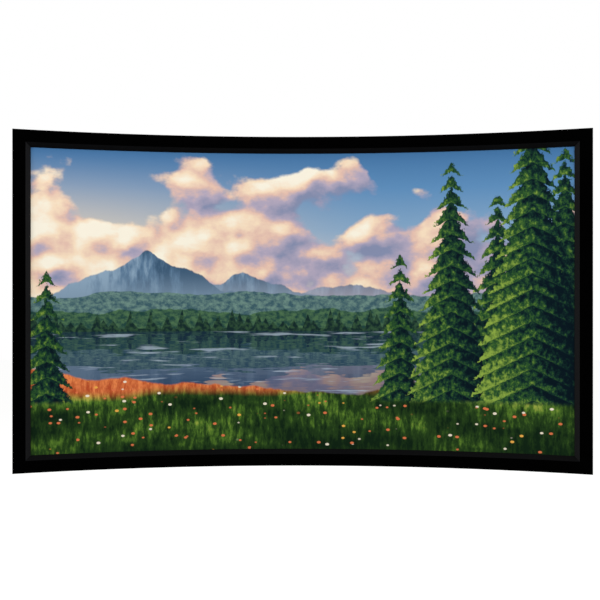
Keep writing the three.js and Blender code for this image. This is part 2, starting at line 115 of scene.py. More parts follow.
def roll(bm):
    # bends what was drawn flat round the upright axis in front of the screen
    for vert in bm.verts:
        angle = vert.co.x / screen["radius"]
        radius = screen["backRadius"] + vert.co.y
        depth = radius * math.cos(angle) - screen["backRadius"] - screen["wallGap"]
        vert.co = (radius * math.sin(angle), depth, vert.co.z + screen["centre"])


def sectionFace(bm, points, rounded):
    # a face drawn in out and level, with some of its corners rounded
    verts = [bm.verts.new((0, -level, out)) for out, level in points]
    face = bm.faces.new(verts)
    for radius in sorted(set(rounded.values())):
        picked = [verts[i] for i in rounded if rounded[i] == radius]
        bmesh.ops.bevel(bm, geom=picked, offset=radius, offset_type="OFFSET", segments=4,
                        affect="VERTICES", profile=0.5, material=-1)


def sweep(bm, place, startAt, endAt):
    # pulls the section's faces or loose loops along one side, with mitred or square ends
    side = sides[place]
    first = list(bm.verts)
    around = [edge for edge in bm.edges if len(edge.link_faces) < 2]
    bmesh.ops.delete(bm, geom=list(bm.faces), context="FACES_ONLY")
    made = bmesh.ops.extrude_edge_only(bm, edges=around)["geom"]
    last = [item for item in made if isinstance(item, bmesh.types.BMVert)]
    for vert in first:
        vert.co.x = startAt(vert.co.z)
    for vert in last:
        vert.co.x = endAt(vert.co.z)
    for verts in (first, last):
        ring = [edge for edge in edgesOf(verts) if set(edge.verts) <= set(verts)]
        bmesh.ops.triangle_fill(bm, use_beauty=True, use_dissolve=True, edges=ring)
    if abs(side["turn"]) in (0, math.pi):
        isLast = set(last)
        along = [e for e in bm.edges if (e.verts[0] in isLast) != (e.verts[1] in isLast)]
        cuts = int(abs(endAt(0) - startAt(0)) / screen["step"])
        bmesh.ops.subdivide_edges(bm, edges=along, cuts=cuts)
    bmesh.ops.translate(bm, verts=bm.verts, vec=(0, 0, side["reach"]))
    bmesh.ops.recalc_face_normals(bm, faces=bm.faces)
    turnToSide(bm, side)
    roll(bm)


def sectionInside(points, distance):
    # the same line moved sideways, to the right of the way it runs
    moved = []
    for i, here in enumerate(points):
        before = Vector(points[max(i, 1)]) - Vector(points[max(i, 1) - 1])
        after = Vector(points[min(i + 1, len(points) - 1)]) - Vector(points[min(i + 1, len(points) - 1) - 1])
        normals = [Vector((-way.y, way.x)).normalized() for way in (before, after)]
        middle = (normals[0] + normals[1]).normalized()
        moved.append(tuple(Vector(here) + middle * (distance / middle.dot(normals[1]))))
    return moved


# Nodes

def linear(colour):
    # an sRGB hex colour as the linear values that a socket takes
    parts = [int(colour[i:i + 2], 16) / 255 for i in (1, 3, 5)]
    return tuple(p / 12.92 if p <= 0.04045 else ((p + 0.055) / 1.055) ** 2.4 for p in parts) + (1.0,)


def shaded(colour, factor):
    return tuple(factor * part for part in linear(colour)[:3]) + (1.0,)


def fill(node, inputs):
    # links or sets a node's inputs, by name or in their order, and makes hex colours linear
    for key, value in inputs.items() if isinstance(inputs, dict) else enumerate(inputs):
        if isinstance(value, bpy.types.NodeSocket):
            node.id_data.links.new(value, node.inputs[key])
        else:
            node.inputs[key].default_value = linear(value) if isinstance(value, str) else value


def addNode(tree, kind, inputs=(), out=0, stops=(), **settings):
    # adds a node with its settings and colour stops, fills its inputs, and gives one of its outputs;
    # in order, a MapRange takes its value, the range from low to high, and what low and high become
    node = tree.nodes.new("ShaderNode" + kind)
    for key, value in settings.items():
        setattr(node, key, value)
    for i, (place, colour) in enumerate(stops):
        elements = node.color_ramp.elements
        element = elements[i] if i < 2 else elements.new(place)  # a new ramp has two stops
        element.position = place
        element.color = linear(colour)
    fill(node, inputs)
    return node.outputs[out]


# settings that many nodes share
colourMix = {"out": 2, "data_type": "RGBA"}  # a Mix node that lays one colour over another
softly = {"interpolation_type": "SMOOTHSTEP"}
times, timesPlus = {"operation": "MULTIPLY"}, {"operation": "MULTIPLY_ADD"}
plus, minus = {"operation": "ADD"}, {"operation": "SUBTRACT"}


def newMaterial(name, **surface):
    # a material with its shader's uniform values set on the sockets
    material = bpy.data.materials.new(name)
    material.use_nodes = True
    shader = material.node_tree.nodes["Principled BSDF"]
    fill(shader, surface)
    return material, material.node_tree, shader


def cover(shader, colour, height, strength, distance):
    # gives a surface its colour, and the fine relief of a height
    relief = {"Height": height, "Strength": strength, "Distance": distance}
    fill(shader, {"Base Color": colour, "Normal": addNode(shader.id_data, "Bump", relief, out="Normal")})


# Materials

def brushedMetal(name, colour, roughness, grain, lines, bumpHeight):
    # a metal with fine lines that run along the way its grain is stretched
    material, tree, shader = newMaterial(name, Metallic=1.0)
    place = addNode(tree, "TexCoord", out="Object")
    stretched = addNode(tree, "Mapping", {"Vector": place, "Scale": grain})
    streaks = addNode(tree, "TexNoise", {"Vector": stretched, "Scale": lines, "Detail": 4.0})
    patches = addNode(tree, "TexNoise", {"Vector": place, "Scale": 14.0, "Detail": 3.0})
    tone = addNode(tree, "Mix", {0: patches, 6: colour, 7: shaded(colour, 0.86)}, **colourMix)
    fill(shader, {"Roughness": addNode(tree, "MapRange", (streaks, 0.0, 1.0, *roughness))})
    cover(shader, tone, streaks, strength=0.25, distance=bumpHeight)
    return material


def grainyPaint(name, colour, roughness, grain, bumpHeight, strength):
    # a black moulded or powder coated surface with an even fine grain
    material, tree, shader = newMaterial(name, Roughness=roughness)
    place = addNode(tree, "TexCoord", out="Object")
    pimples = addNode(tree, "TexNoise", {"Vector": place, "Scale": 1 / grain, "Detail": 2.0})
    patches = addNode(tree, "TexNoise", {"Vector": place, "Scale": 30.0, "Detail": 3.0})
    tone = addNode(tree, "Mix", {0: patches, 6: colour, 7: shaded(colour, 1.5)}, **colourMix)
    cover(shader, tone, pimples, strength=strength, distance=bumpHeight)
    return material


# Mill finish aluminium as it leaves the die: a soft grey shine with faint lines along each rail
millAlong = brushedMetal("extrudedAluminiumLong", "#c3c5c7", roughness=(0.30, 0.42), grain=(0.02, 1.0, 1.0),
                         lines=900.0, bumpHeight=0.00004)
millUpright = brushedMetal("extrudedAluminiumUpright", "#c3c5c7", roughness=(0.30, 0.42), grain=(1.0, 1.0, 0.02),
                           lines=900.0, bumpHeight=0.00004)
# Bright zinc plating on pressed steel: a cool even grey with a slight mottle
zincPlate = brushedMetal("zincPlatedSteel", "#c9cccd", roughness=(0.24, 0.36), grain=(1.0, 1.0, 1.0),
                         lines=220.0, bumpHeight=0.00003)
# Drawn spring wire: a darker steel shine with marks left by the die
springWire = brushedMetal("drawnSpringSteel", "#a8abae", roughness=(0.20, 0.32), grain=(1.0, 1.0, 1.0),
                          lines=1500.0, bumpHeight=0.00002)
# Moulded black nylon with a spark eroded grain of about 0.6 mm, which keeps its highlights broad
mouldedNylon = grainyPaint("mouldedBlackNylon", "#1c1d1f", roughness=0.5, grain=0.0006, bumpHeight=0.00008,
                           strength=0.5)
# Black powder coat on sheet steel, with the orange peel of about 1.2 mm that the oven leaves
powderCoat = grainyPaint("powderCoatedSteel", "#1a1b1d", roughness=0.42, grain=0.0012, bumpHeight=0.00006,
                         strength=0.45)


def glassFibre():
    # pultruded glass fibre: off-white resin with pale strands that run along the rod
    material, tree, shader = newMaterial("pultrudedGlassFibre", Roughness=0.42)
    run = addNode(tree, "UVMap", uv_map="along")
    strands = addNode(tree, "Mapping", {"Vector": run, "Scale": (2.0, 1200.0, 1.0)})
    fibres = addNode(tree, "TexNoise", {"Vector": strands, "Scale": 1.0, "Detail": 3.0})
    colour = addNode(tree, "ValToRGB", {"Fac": fibres}, stops=[(0.35, "#b9b39c"), (0.62, "#dedacb")])
    cover(shader, colour, fibres, strength=0.3, distance=0.00005)
    return material


def velvet():
    # black polyester velvet: it swallows nearly all light; the dark grey on its bevel is painted light, standing in
    # for the light that the sloping bevel catches
    material, tree, shader = newMaterial("blackVelvet", Roughness=1.0)
    fill(shader, {"Specular IOR Level": 0.0, "Sheen Weight": 0.003, "Sheen Roughness": 0.5})
    place = addNode(tree, "TexCoord", out="Object")
    # the pile's tufts are about 1 mm apart, drawn three times as coarse to show
    tufts = addNode(tree, "TexNoise", {"Vector": place, "Scale": 330.0, "Detail": 3.0, "Roughness": 0.7})
    brushed = addNode(tree, "TexNoise", {"Vector": place, "Scale": 9.0, "Detail": 2.0})
    # where the bevel's painted light goes, and how pale it is there
    bevelLight = addNode(tree, "Attribute", out="Fac", attribute_name="paintedBevelLight")
    face = addNode(tree, "Mix", {0: tufts, 6: "#000000", 7: "#030303"}, **colourMix)
    # painted light: the bevel gets a dark grey in place of the light it catches, varied at random along it
    slope = addNode(tree, "Mix", {0: tufts, 6: "#1a1a1b", 7: "#2b2b2d"}, **colourMix)
    streaked = addNode(tree, "MapRange", (brushed, 0.0, 1.0, 0.75, 1.0))
    share = addNode(tree, "Math", (bevelLight, streaked), **times)
    colour = addNode(tree, "Mix", {0: share, 6: face, 7: slope}, **colourMix)
    cover(shader, colour, tufts, strength=0.5, distance=0.0006)
    return material


def blackoutBack():
    # the fabric's black coated back: a plain weave of 1 mm threads under a thin matt coat
    material, tree, shader = newMaterial("blackCoatedFabric", Roughness=0.78)
    run = addNode(tree, "UVMap", uv_map="picture")
    parts = addNode(tree, "SeparateXYZ", {"Vector": run}).node
    threads = []
    for axis in ("X", "Y"):
        turns = addNode(tree, "Math", (parts.outputs[axis], 2 * math.pi / 0.002), **times)
        threads.append(addNode(tree, "Math", (turns,), operation="SINE"))
    weave = addNode(tree, "Math", threads, **times)
    clouds = addNode(tree, "TexNoise", {"Vector": run, "Scale": 6.0, "Detail": 4.0})
    colour = addNode(tree, "ValToRGB", {"Fac": clouds}, stops=[(0.3, "#17181a"), (0.7, "#212225")])
    cover(shader, colour, weave, strength=0.35, distance=0.0002)
    return material


def bareFabric():
    # the same matt white fabric where no picture falls on it, round the rods
    material, tree, shader = newMaterial("mattWhiteFabric", Roughness=0.95)
    run = addNode(tree, "UVMap", uv_map="picture")
    weave = addNode(tree, "TexNoise", {"Vector": run, "Scale": 900.0, "Detail": 2.0})
    colour = addNode(tree, "ValToRGB", {"Fac": weave}, stops=[(0.35, "#d4d4cf"), (0.65, "#dfdfda")])
    cover(shader, colour, weave, strength=0.3, distance=0.0001)
    return material


rodFibre = glassFibre()
blackVelvet = velvet()
fabricBack = blackoutBack()
fabricWhite = bareFabric()
print("materials made")


# The picture on the screen: a made-up lake in the hills, drawn as fields of colour with simple shapes.
# Its x and y run in picture heights, x from the middle and y from the picture's lower edge.
picture = {
    "skyline": 0.48,  # where the mountains stand
    "shore": 0.40,  # the lake's far side
    "bank": 0.19,  # the lake's near side
    "cloudTop": 0.88,
    "boughs": 0.052,  # from tier to tier
    "peaks": [(0.16, 0.40, 0.085), (-0.20, 0.36, 0.120), (-0.52, 0.40, 0.190)],  # x, half width, rise
    # x, top and spread
    "firs": [(0.33, 0.66, 0.15), (0.65, 0.86, 0.16), (0.50, 0.97, 0.16), (0.86, 1.00, 0.18), (0.76, 1.20, 0.17),
             (-0.84, 0.60, 0.15)],
    "sky": [(0.50, "#dcc9b8"), (0.62, "#b4bfce"), (0.74, "#86a9ca"), (0.88, "#5f8fbd"), (1.0, "#4475a6")],
    "cloud": [(0.12, "#8790b0"), (0.36, "#b7abc0"), (0.52, "#e9c3b2"), (0.70, "#fbe2c4"), (0.90, "#fff7e4")],
    "rock": [(0.33, "#8fa9c0"), (0.47, "#5d7c99"), (0.60, "#3d5a76")],
    "farFirs": [(0.42, "#142a2a"), (0.62, "#33523a")],
    "grass": [(0.15, "#0f2413"), (0.23, "#29451c"), (0.30, "#557a2b"), (0.40, "#a3b04a")],
    "orangeField": [(0.40, "#b8502c"), (0.62, "#ee8a50")],
    "petals": [(0.0, "#e0764a"), (0.55, "#f2e6cf"), (0.85, "#f0b04e")],
    "nearFirs": [(0.46, "#06161f"), (0.58, "#12302a"), (0.72, "#335c2c"), (0.92, "#8fac46")],
}
def wavyLine(tree, x, level, swing, scale, seed, detail):
    # the height of a rolling line at x
    along = addNode(tree, "Math", (x, scale, seed), **timesPlus)
    waves = addNode(tree, "TexNoise", {"W": along, "Scale": 1.0, "Detail": detail}, noise_dimensions="1D")
    return addNode(tree, "Math", (waves, 2 * swing, level - swing), **timesPlus)


def grainOf(tree, x, y, across, up, detail=3.0, roughness=0.5):
    # a noise with so many cells to a picture height, across and up
    wide = addNode(tree, "Math", (x, across), **times)
    high = addNode(tree, "Math", (y, up), **times)
    place = addNode(tree, "CombineXYZ", {"X": wide, "Y": high})
    return addNode(tree, "TexNoise", {"Vector": place, "Scale": 1.0, "Detail": detail, "Roughness": roughness})


def paintBelow(tree, under, over, line, y, start, end):
    # lays a field of colour over the picture from a line downwards, with a soft edge
    depth = addNode(tree, "Math", (line, y), **minus)
    mask = addNode(tree, "MapRange", (depth, start, end), **softly)
    return addNode(tree, "Mix", {0: mask, 6: under, 7: over}, **colourMix)


def paintSky(tree, x, y):
    # blue overhead, paler towards the hills, with a warm glow low on the left
    sky = addNode(tree, "ValToRGB", {"Fac": y}, stops=picture["sky"])
    left = addNode(tree, "MapRange", (x, 0.35, -0.95), **softly)
    low = addNode(tree, "MapRange", (y, 1.02, 0.50), **softly)
    glow = addNode(tree, "Math", (left, low), **times)
    return addNode(tree, "Mix", {0: glow, 6: sky, 7: "#ffe2b4"}, **colourMix)


def billows(tree, x, y, aside, up):
    # how thick the cloud is at a point beside x and y
    wide = addNode(tree, "Math", (x, aside), **plus)
    high = addNode(tree, "Math", (y, up), **plus)
    place = addNode(tree, "CombineXYZ", {"X": wide, "Y": high, "Z": 3.7})
    flattened = addNode(tree, "Mapping", {"Vector": place, "Scale": (1.0, 1.35, 1.0)})
    heaps = addNode(tree, "TexNoise", {"Vector": flattened, "Scale": 3.0, "Detail": 6.0, "Roughness": 0.50})
    puffs = addNode(tree, "TexVoronoi", {"Vector": flattened, "Scale": 8.0, "Smoothness": 0.8}, feature="SMOOTH_F1")
    return addNode(tree, "Math", (puffs, -0.22, heaps), **timesPlus)


def paintClouds(tree, x, y, sky):
    # heaped clouds, lit from the upper left
    here = billows(tree, x, y, aside=0.0, up=0.0)
    beside = billows(tree, x, y, aside=-0.026, up=0.036)
    top = wavyLine(tree, x, picture["cloudTop"], swing=0.16, scale=1.7, seed=8.3, detail=3.0)
    under = addNode(tree, "Math", (top, y), **minus)
    room = addNode(tree, "MapRange", (under, -0.10, 0.22, -0.16, 0.17))
    leaning = addNode(tree, "Math", (x, -0.10, room), **timesPlus)
    thick = addNode(tree, "Math", (here, leaning), **plus)
    mask = addNode(tree, "MapRange", (thick, 0.37, 0.43), **softly)
    relief = addNode(tree, "Math", (here, beside), **minus)
    body = addNode(tree, "Math", (relief, 3.0, 0.46), **timesPlus)
    tinted = addNode(tree, "Math", (x, -0.22, body), **timesPlus)
    heap = addNode(tree, "ValToRGB", {"Fac": tinted}, stops=picture["cloud"])
    return addNode(tree, "Mix", {0: mask, 6: sky, 7: heap}, **colourMix)


def paintPeak(tree, x, y, under, peak, haze):
    # a rough cone with gullies, whose foot fades into the haze
    middle, halfWidth, rise = peak
    away = addNode(tree, "Math", (x, middle), **minus)
    apart = addNode(tree, "Math", (away,), operation="ABSOLUTE")
    cone = addNode(tree, "MapRange", (apart, 0.0, halfWidth, picture["skyline"] + rise, picture["skyline"]))
    rough = grainOf(tree, x, y, across=9.0, up=2.0, detail=6.0)
    line = addNode(tree, "Math", (rough, 0.09, cone), **timesPlus)
    gullies = grainOf(tree, away, y, across=26.0, up=7.0, detail=5.0, roughness=0.6)
    slope = addNode(tree, "Math", (away, 0.9, gullies), **timesPlus)
    rock = addNode(tree, "ValToRGB", {"Fac": slope}, stops=picture["rock"])
    foot = addNode(tree, "MapRange", (y, 0.62, 0.47), **softly)
    rock = addNode(tree, "Mix", {0: foot, 6: rock, 7: haze}, **colourMix)
    return paintBelow(tree, under, rock, line, y, start=0.045, end=0.051)


def paintFarShore(tree, x, y, under):
    # two wooded ridges, and a row of firs along the water
    for level, swing, scale, seed, dark, light in [
        (0.525, 0.040, 3.0, 2.1, "#3c5c66", "#6f8f86"),
        (0.470, 0.038, 4.2, 6.4, "#22443f", "#4f7350"),
    ]:
        line = wavyLine(tree, x, level, swing, scale, seed, detail=8.0)
        leaves = grainOf(tree, x, y, across=46.0, up=60.0, detail=4.0, roughness=0.65)
        wood = addNode(tree, "ValToRGB", {"Fac": leaves}, stops=[(0.40, dark), (0.62, light)])
        under = paintBelow(tree, under, wood, line, y, start=0.0, end=0.004)
    along = addNode(tree, "Math", (x, 30.0), **times)
    row = addNode(tree, "TexVoronoi", {"W": along, "Scale": 1.0}, voronoi_dimensions="1D").node
    chance = addNode(tree, "SeparateColor", {"Color": row.outputs["Color"]})
    tall = addNode(tree, "Math", (chance, 0.050, 0.020), **timesPlus)
    taper = addNode(tree, "MapRange", (row.outputs["Distance"], 0.0, 0.55, 1.0, 0.0))
    reach = addNode(tree, "Math", (tall, taper), **times)
    line = addNode(tree, "Math", (reach, picture["shore"] + 0.012), **plus)
    needles = grainOf(tree, x, y, across=70.0, up=70.0)
    firs = addNode(tree, "ValToRGB", {"Fac": needles}, stops=picture["farFirs"])
    return paintBelow(tree, under, firs, line, y, start=0.0, end=0.006)


def paintBackdrop(tree, x, y):
    scene = paintClouds(tree, x, y, paintSky(tree, x, y))
    for peak, haze in zip(picture["peaks"], ("#a9a6b4", "#93a3b6", "#7f97ad")):
        scene = paintPeak(tree, x, y, scene, peak, haze)
    return paintFarShore(tree, x, y, scene)


def paintLake(tree, x, y, scene):
    # the backdrop upside down under blue water, shaken by ripples, with glints on them
    shore, bank = picture["shore"], picture["bank"]
    ripples = grainOf(tree, x, y, across=9.0, up=120.0, detail=4.0)
    wide = grainOf(tree, x, y, across=3.0, up=40.0)
    shaken = addNode(tree, "Math", (ripples, 0.075, 2 * shore - 0.037), **timesPlus)
    mirrored = addNode(tree, "Math", (shaken, y), **minus)
    mirrorImage = paintBackdrop(tree, x, mirrored)
    deep = addNode(tree, "MapRange", (y, bank, shore, 0.72, 0.34))
    water = addNode(tree, "Mix", {0: deep, 6: mirrorImage, 7: "#1b3152"}, **colourMix)
    crests = addNode(tree, "Math", (ripples, wide), **times)
    glints = addNode(tree, "MapRange", (crests, 0.30, 0.40, 0.0, 0.55), **softly)
    water = addNode(tree, "Mix", {0: glints, 6: water, 7: "#b6c6d8"}, **colourMix)
    inside = addNode(tree, "MapRange", (y, shore + 0.001, shore - 0.003), **softly)
    return addNode(tree, "Mix", {0: inside, 6: scene, 7: water}, **colourMix)


def paintMeadow(tree, x, y, scene):
    # grass in drifts of light and shade, a field of orange flowers on the left, and single blooms
    line = wavyLine(tree, x, picture["bank"] + 0.015, swing=0.055, scale=2.3, seed=5.2, detail=6.0)
    bowl = addNode(tree, "Math", (x, x), **times)
    edge = addNode(tree, "Math", (bowl, 0.11, line), **timesPlus)
    blades = grainOf(tree, x, y, across=60.0, up=18.0, detail=5.0, roughness=0.7)
    drifts = grainOf(tree, x, y, across=3.0, up=9.0)
    shade = addNode(tree, "MapRange", (y, 0.0, 0.2, 0.74, 1.0))
    spots = addNode(tree, "Math", (blades, drifts), **times)
    light = addNode(tree, "Math", (spots, shade), **times)
    grass = addNode(tree, "ValToRGB", {"Fac": light}, stops=picture["grass"])
    field = wavyLine(tree, x, level=0.205, swing=0.03, scale=2.6, seed=1.4, detail=4.0)
    depth = addNode(tree, "Math", (field, y), **minus)
    upper = addNode(tree, "MapRange", (depth, 0.03, -0.01), **softly)
    left = addNode(tree, "MapRange", (x, 0.42, -0.10), **softly)
    inField = addNode(tree, "Math", (upper, left), **times)
    blooms = addNode(tree, "ValToRGB", {"Fac": blades}, stops=picture["orangeField"])
    grass = addNode(tree, "Mix", {0: inField, 6: grass, 7: blooms}, **colourMix)
    high = addNode(tree, "Math", (y, 1.5), **times)
    place = addNode(tree, "CombineXYZ", {"X": x, "Y": high})
    dots = addNode(tree, "TexVoronoi", {"Vector": place, "Scale": 34.0}).node
    chance = addNode(tree, "SeparateColor", {"Color": dots.outputs["Color"]}).node
    near = addNode(tree, "MapRange", (dots.outputs["Distance"], 0.26, 0.16), **softly)
    some = addNode(tree, "MapRange", (chance.outputs[0], 0.55, 0.60), **softly)
    flower = addNode(tree, "Math", (near, some), **times)
    petals = addNode(tree, "ValToRGB", {"Fac": chance.outputs[1]}, stops=picture["petals"])
    petals.node.color_ramp.interpolation = "CONSTANT"
    grass = addNode(tree, "Mix", {0: flower, 6: grass, 7: petals}, **colourMix)
    return paintBelow(tree, scene, grass, edge, y, start=0.0, end=0.008)


def paintFirs(tree, x, y, scene):
    # tall firs on the near bank, whose boughs droop in tiers with light tips
    twigs = grainOf(tree, x, y, across=60.0, up=44.0, detail=4.0, roughness=0.7)
    ragged = addNode(tree, "Math", (twigs, 0.055, -0.040), **timesPlus)
    standing = addNode(tree, "MapRange", (y, picture["bank"] - 0.035, picture["bank"] - 0.015), **softly)
    for middle, top, spread in picture["firs"]:
        away = addNode(tree, "Math", (x, middle), **minus)
        apart = addNode(tree, "Math", (away,), operation="ABSOLUTE")
        below = addNode(tree, "Math", (top, y), **minus)
        drooping = addNode(tree, "Math", (apart, -0.5, below), **timesPlus)
        uneven = addNode(tree, "Math", (twigs, 0.03, drooping), **timesPlus)
        tiers = addNode(tree, "Math", (uneven, picture["boughs"]), operation="MODULO")
        jut = addNode(tree, "Math", (tiers, 0.75), **times)
        cone = addNode(tree, "Math", (below, spread, jut), **timesPlus)
        reach = addNode(tree, "Math", (cone, ragged), **plus)
        inside = addNode(tree, "Math", (reach, apart), **minus)
        mask = addNode(tree, "MapRange", (inside, 0.0, 0.006), **softly)
        drawn = addNode(tree, "Math", (mask, standing), **times)
        tips = addNode(tree, "Math", (tiers, 4.0, twigs), **timesPlus)
        sun = addNode(tree, "Math", (away, -1.4, tips), **timesPlus)
        boughs = addNode(tree, "ValToRGB", {"Fac": sun}, stops=picture["nearFirs"])
        scene = addNode(tree, "Mix", {0: drawn, 6: scene, 7: boughs}, **colourMix)
    return scene


def projectionFabric():
    # matt white fabric lit by the picture: no gloss, and a weave of 1 mm threads under its coat
    material, tree, shader = newMaterial("mattProjectionFabric", Roughness=0.95)
    run = addNode(tree, "UVMap", uv_map="picture")
    height = 2 * screen["halfHeight"]
    placed = addNode(tree, "Mapping", {"Vector": run, "Location": (0, 0.5, 0), "Scale": (1 / height, 1 / height, 1)})
    parts = addNode(tree, "SeparateXYZ", {"Vector": placed}).node
    x, y = parts.outputs["X"], parts.outputs["Y"]
    scene = paintBackdrop(tree, x, y)
    for paint in (paintLake, paintMeadow, paintFirs):
        scene = paint(tree, x, y, scene)
    weave = addNode(tree, "TexNoise", {"Vector": run, "Scale": 900.0, "Detail": 2.0})
    fill(shader, {"Specular IOR Level": 0.05})
    cover(shader, scene, weave, strength=0.15, distance=0.0001)
    return material


fabricFront = projectionFabric()
print("picture drawn in nodes:", len(fabricFront.node_tree.nodes))


# Rails and their velvet

rail = {
    "skin": 0.001,  # velvet and glue line
    "wall": 0.002,
    "boxWidth": 0.029,
    "channelDepth": 0.010,
    "slotWidth": 0.010,
    "lipReach": 0.007,
    "lipTop": 0.0068,
    "beadTop": 0.0088,
    "dieRadius": 0.0005,  # the smallest rounding an extrusion has
}
pile = {
    "thickness": 0.0007,
    "rounding": 0.0013,
    "edgeRounding": 0.0006,
    "joint": 0.00002,  # left open between two strips
    "lyingLightShare": 0.35,  # of the bevel's painted light, above and below the picture, where the bevel faces the lamps less
}

seenLine = [
    (screen["faceWidth"], 0.0),
    (screen["faceWidth"], screen["depth"]),
    (screen["bevelWidth"], screen["depth"]),
    (0.0, screen["edgeLevel"]),
    (0.0, screen["edgeLevel"] - screen["edgeHeight"]),
]


def velvetSection(bm):
    points = seenLine + sectionInside(seenLine, pile["thickness"])[::-1]
    sectionFace(bm, points, {1: pile["rounding"], 2: pile["rounding"], 3: pile["edgeRounding"]})


def railSection(bm):
    outside = sectionInside(seenLine, rail["skin"])
    faceEnd, bevelEnd, edgeEnd = sectionInside(seenLine, rail["skin"] + rail["wall"])[2:]
    wall = rail["wall"]
    outer = screen["faceWidth"] - rail["skin"] - wall
    inner = screen["faceWidth"] - rail["skin"] - rail["boxWidth"] + wall
    web = inner - wall
    middle = (inner + outer) / 2
    slotInner, slotOuter = middle - rail["slotWidth"] / 2, middle + rail["slotWidth"] / 2
    bead = web - rail["lipReach"]
    front = screen["depth"] - rail["skin"] - wall
    floor = wall + rail["channelDepth"]
    points = outside + [edgeEnd, bevelEnd, faceEnd, (web, front), (web, rail["lipTop"]),
                        (bead + wall, rail["lipTop"]), (bead + wall, rail["beadTop"]), (bead, rail["beadTop"]),
                        (bead, rail["lipTop"] - wall), (web, rail["lipTop"] - wall), (web, 0.0),
                        (slotInner, 0.0), (slotInner, wall), (inner, wall), (inner, floor), (outer, floor),
                        (outer, wall), (slotOuter, wall), (slotOuter, 0.0)]
    # the corners of the line that show, by their number in it
    rounded = {i: rail["dieRadius"] for i in (0, 1, 2, 9, 10, 11, 12, 13, 15, 16, 17, 22, 23)}
    sectionFace(bm, points, rounded)
    hollow = [(inner, floor + wall), (inner, front), (outer, front), (outer, floor + wall)]
    corners = [bm.verts.new((0, -level, out)) for out, level in hollow]
    for here, there in zip(corners, corners[1:] + corners[:1]):
        bm.edges.new((here, there))


def paintBevelLight(piece, side):
    # marks the bevel's faces for the velvet's painted light: paler at the upright sides, which face the light more,
    # and darker above and below the picture
    lying = side["turn"] in (0, math.pi)
    mark = piece.data.attributes.new("paintedBevelLight", "FLOAT", "FACE")
    for face in piece.data.polygons:
        arc = math.atan2(face.center.x, screen["backRadius"] + face.center.y) * screen["radius"]
        out = abs(face.center.z - screen["centre"]) if lying else abs(arc)
        onBevel = out - side["reach"] < screen["bevelWidth"] - 0.0002
        mark.data[face.index].value = (pile["lyingLightShare"] if lying else 1.0) if onBevel else 0.0


def mitreAt(side, sign, short):
    return lambda out: sign * (side["span"] + out - short)


def buttAt(sign, gap):
    return lambda out: sign * gap / 2


def makeRails():
    runs = [("top", "left", -1), ("top", "right", 1), ("right", "", 0), ("bottom", "right", -1),
            ("bottom", "left", 1), ("left", "", 0)]
    for place, half, sign in runs:
        side = sides[place]
        upright = place in ("left", "right")
        for kind, section, material, short, gap in [
            ("rail", railSection, millUpright if upright else millAlong, screen["mitreShort"], screen["seatGap"]),
            ("velvet", velvetSection, blackVelvet, pile["joint"], pile["joint"]),
        ]:
            starts = mitreAt(side, -1, short) if sign <= 0 else buttAt(1, gap)
            ends = mitreAt(side, 1, short) if sign >= 0 else buttAt(-1, gap)
            bm = bmesh.new()
            section(bm)
            sweep(bm, place, starts, ends)
            node = "_".join(filter(None, (place, kind, half)))
            words = [place, half.capitalize(), kind.capitalize()]
            piece = makePiece("".join(words), bm, [material], 35, kind, node)
            if kind == "velvet":
                paintBevelLight(piece, side)


makeRails()
print("rails and velvet made")


# Rods, fabric and springs

rod = {"diameter": 0.005, "inset": 0.012, "level": 0.0097, "flats": 20, "endRounding": 0.0006}


def makeRods():
    for place, side in sides.items():
        bm = bmesh.new()
        turned = Matrix.Translation((0, -rod["level"], rod["inset"])) @ Matrix.Rotation(math.pi / 2, 4, "Y")
        bmesh.ops.create_circle(bm, cap_ends=True, segments=rod["flats"], radius=rod["diameter"] / 2, matrix=turned)
        sweep(bm, place, lambda out: -side["span"], lambda out: side["span"])
        ends = [f for f in bm.faces if len(f.verts) > 4]  # the rest are the rings' four-sided faces
        bevelEdges(bm, [e for f in ends for e in f.edges], rod["endRounding"], segments=2)
        along = bm.loops.layers.uv.new("along")
        for face in bm.faces:
            for loop in face.loops:
                spot = loop.vert.co
                run = spot.x if side["turn"] in (0, math.pi) else spot.z
                loop[along].uv = (run, spot.z + spot.y if side["turn"] in (0, math.pi) else spot.x + spot.y)
        makePiece(place + "TensionRod", bm, [rodFibre], 40, "rod", place + "_tension_rod")


springs = {
    "across": 8,
    "upright": 5,
    "wire": 0.0012,
    "coil": 0.007,
    "coilStart": 0.0184,
    "coilEnd": 0.033,
    "pitch": 0.0013,  # between turns of the closed coil
    "stepsPerTurn": 12,
    "hookSteps": 9,
    "rodHook": 0.0034,
    "rodHookTurn": 225,  # degrees
    "beadHook": 0.0397,
    "hookLevel": 0.0078,
    "hookBend": 0.0008,
}


def springPlaces(place):
    side = sides[place]
    count = springs["upright"] if place in ("left", "right") else springs["across"]
    pitch = 2 * side["span"] / count
    return [(i - (count - 1) / 2) * pitch for i in range(count)]


